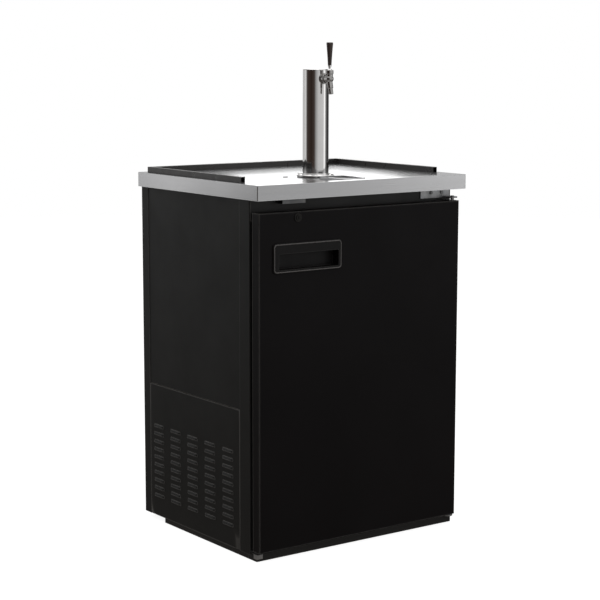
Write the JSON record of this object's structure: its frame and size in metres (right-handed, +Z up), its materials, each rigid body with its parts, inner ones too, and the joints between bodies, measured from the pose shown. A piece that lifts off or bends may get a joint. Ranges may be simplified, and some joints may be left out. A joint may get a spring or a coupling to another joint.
{
  "type": "kegerator",
  "caption": "Direct-draw beer dispenser: black refrigerated keg cabinet with a full-height door, vented side, stainless worktop with guard rail, and chrome draught tower with faucet.",
  "frame": {"origin": "on the floor, under the middle of the worktop's plan", "axes": "+X to the right for someone standing in front of the door, +Y from the door to the back, +Z up"},
  "size_m": [0.704, 0.597, 1.362],
  "materials": {
    "cabinet_black": "black vinyl-coated steel, fine leather-grain emboss, satin",
    "door_black": "black vinyl-coated steel, satin",
    "stainless": "brushed stainless steel",
    "zinc_steel": "zinc-plated steel",
    "chrome": "polished chrome plate",
    "black_plastic": "moulded black plastic, light texture",
    "grey_plastic": "moulded grey plastic",
    "white_plastic": "white moulded plastic",
    "rubber": "black rubber",
    "liner": "stucco-embossed aluminium",
    "foam": "rigid polyurethane foam, hidden",
    "board": "moisture-resistant board, hidden",
    "hose": "clear food-grade hose",
    "copper": "bare copper",
    "fins": "aluminium fins",
    "machine_black": "black enamel",
    "fan_metal": "pressed aluminium blades"
  },
  "bodies": {
    "cabinet": {"back_panel": "cabinet_black", "base_pan": "zinc_steel", "base_rails": "cabinet_black", "beer_line": "hose", "bracket_screws": "zinc_steel", "breaker_strips": "white_plastic", "chamber_liner": "liner", "compressor": "machine_black", "compressor_mounts": "rubber", "condenser_coil": "fins", "condenser_fan_motor": "machine_black", "coupling_nut": "chrome", "evaporator_coil": "fins", "evaporator_housing": "white_plastic", "fan_shroud": "zinc_steel", "faucet_body": "chrome", "faucet_shank": "chrome", "filter_drier": "copper", "foam_insulation": "foam", "front_apron": "cabinet_black", "front_header": "cabinet_black", "gas_line_grommet": "rubber", "guard_rail": "black_plastic", "left_side_panel": "cabinet_black", "line_clips": "grey_plastic", "line_connector": "chrome", "louvred_side_panel": "cabinet_black", "lower_hinge_bracket": "zinc_steel", "power_inlet": "black_plastic", "rear_vent_cover": "cabinet_black", "refrigerant_lines": "copper", "right_side_panel": "cabinet_black", "strike_bracket": "stainless", "thermostat_housing": "grey_plastic", "tower_cap": "chrome", "tower_column": "chrome", "tower_flange": "chrome", "tower_gasket": "rubber", "tower_screws": "chrome", "upper_hinge_bracket": "zinc_steel", "worktop": "stainless", "worktop_core": "board", "worktop_plug": "grey_plastic"},
    "door": {"door_skin": "door_black", "door_foam": "foam", "door_liner": "liner", "door_gasket": "rubber", "door_handle": "black_plastic", "door_bushes": "white_plastic", "lock_housing": "chrome"},
    "lock_cylinder": {"lock_cylinder": "chrome"},
    "lock_bolt": {"lock_bolt": "zinc_steel"},
    "tap": {"tap_lever": "chrome", "tap_handle": "black_plastic"},
    "valve_shaft": {"valve_shaft": "chrome"},
    "drip_pan": {"drip_pan": "stainless"},
    "drip_grille": {"drip_grille": "black_plastic"},
    "evaporator_fan": {"evaporator_fan": "black_plastic"},
    "condenser_fan": {"condenser_fan": "fan_metal"},
    "thermostat_knob": {"thermostat_knob": "black_plastic"}
  },
  "joints": [
    {"name": "door_hinge", "type": "hinge", "parent": "cabinet", "child": "door", "pos_m": [0.327, -0.27, 0], "axis": [0, 0, 1], "range_deg": [0, 110]},
    {"name": "lock_turn", "type": "hinge", "parent": "door", "child": "lock_cylinder", "pos_m": [-0.2157, -0.285, 0.9105], "axis": [0, 1, 0], "range_deg": [0, 90]},
    {"name": "lock_bolt_rise", "type": "slide", "parent": "door", "child": "lock_bolt", "axis": [0, 0, 1], "range_m": [0, 0.021]},
    {"name": "tap_pull", "type": "hinge", "parent": "cabinet", "child": "tap", "pos_m": [0, -0.133, 1.285], "axis": [1, 0, 0], "range_deg": [0, 25]},
    {"name": "valve_shaft_travel", "type": "slide", "parent": "cabinet", "child": "valve_shaft", "axis": [0, 1, 0], "range_m": [0, 0.0092]},
    {"name": "drip_pan_lift", "type": "slide", "parent": "cabinet", "child": "drip_pan", "axis": [0, 0, 1], "range_m": [0, 0.05]},
    {"name": "drip_grille_lift", "type": "slide", "parent": "drip_pan", "child": "drip_grille", "axis": [0, 0, 1], "range_m": [0, 0.04]},
    {"name": "evaporator_fan_spin", "type": "hinge", "parent": "cabinet", "child": "evaporator_fan", "pos_m": [0.095, 0.171, 0.852], "axis": [0, 1, 0], "continuous": true},
    {"name": "condenser_fan_spin", "type": "hinge", "parent": "cabinet", "child": "condenser_fan", "pos_m": [-0.274, -0.05, 0.128], "axis": [1, 0, 0], "continuous": true},
    {"name": "thermostat_turn", "type": "hinge", "parent": "cabinet", "child": "thermostat_knob", "pos_m": [-0.27, 0.04, 0.85], "axis": [1, 0, 0], "range_deg": [0, 270]}
  ],
  "couplings": [
    {"joint": "lock_bolt_rise", "follows": "lock_turn", "m_per_rad": 0.0127},
    {"joint": "valve_shaft_travel", "follows": "tap_pull", "m_per_rad": 0.021}
  ]
}
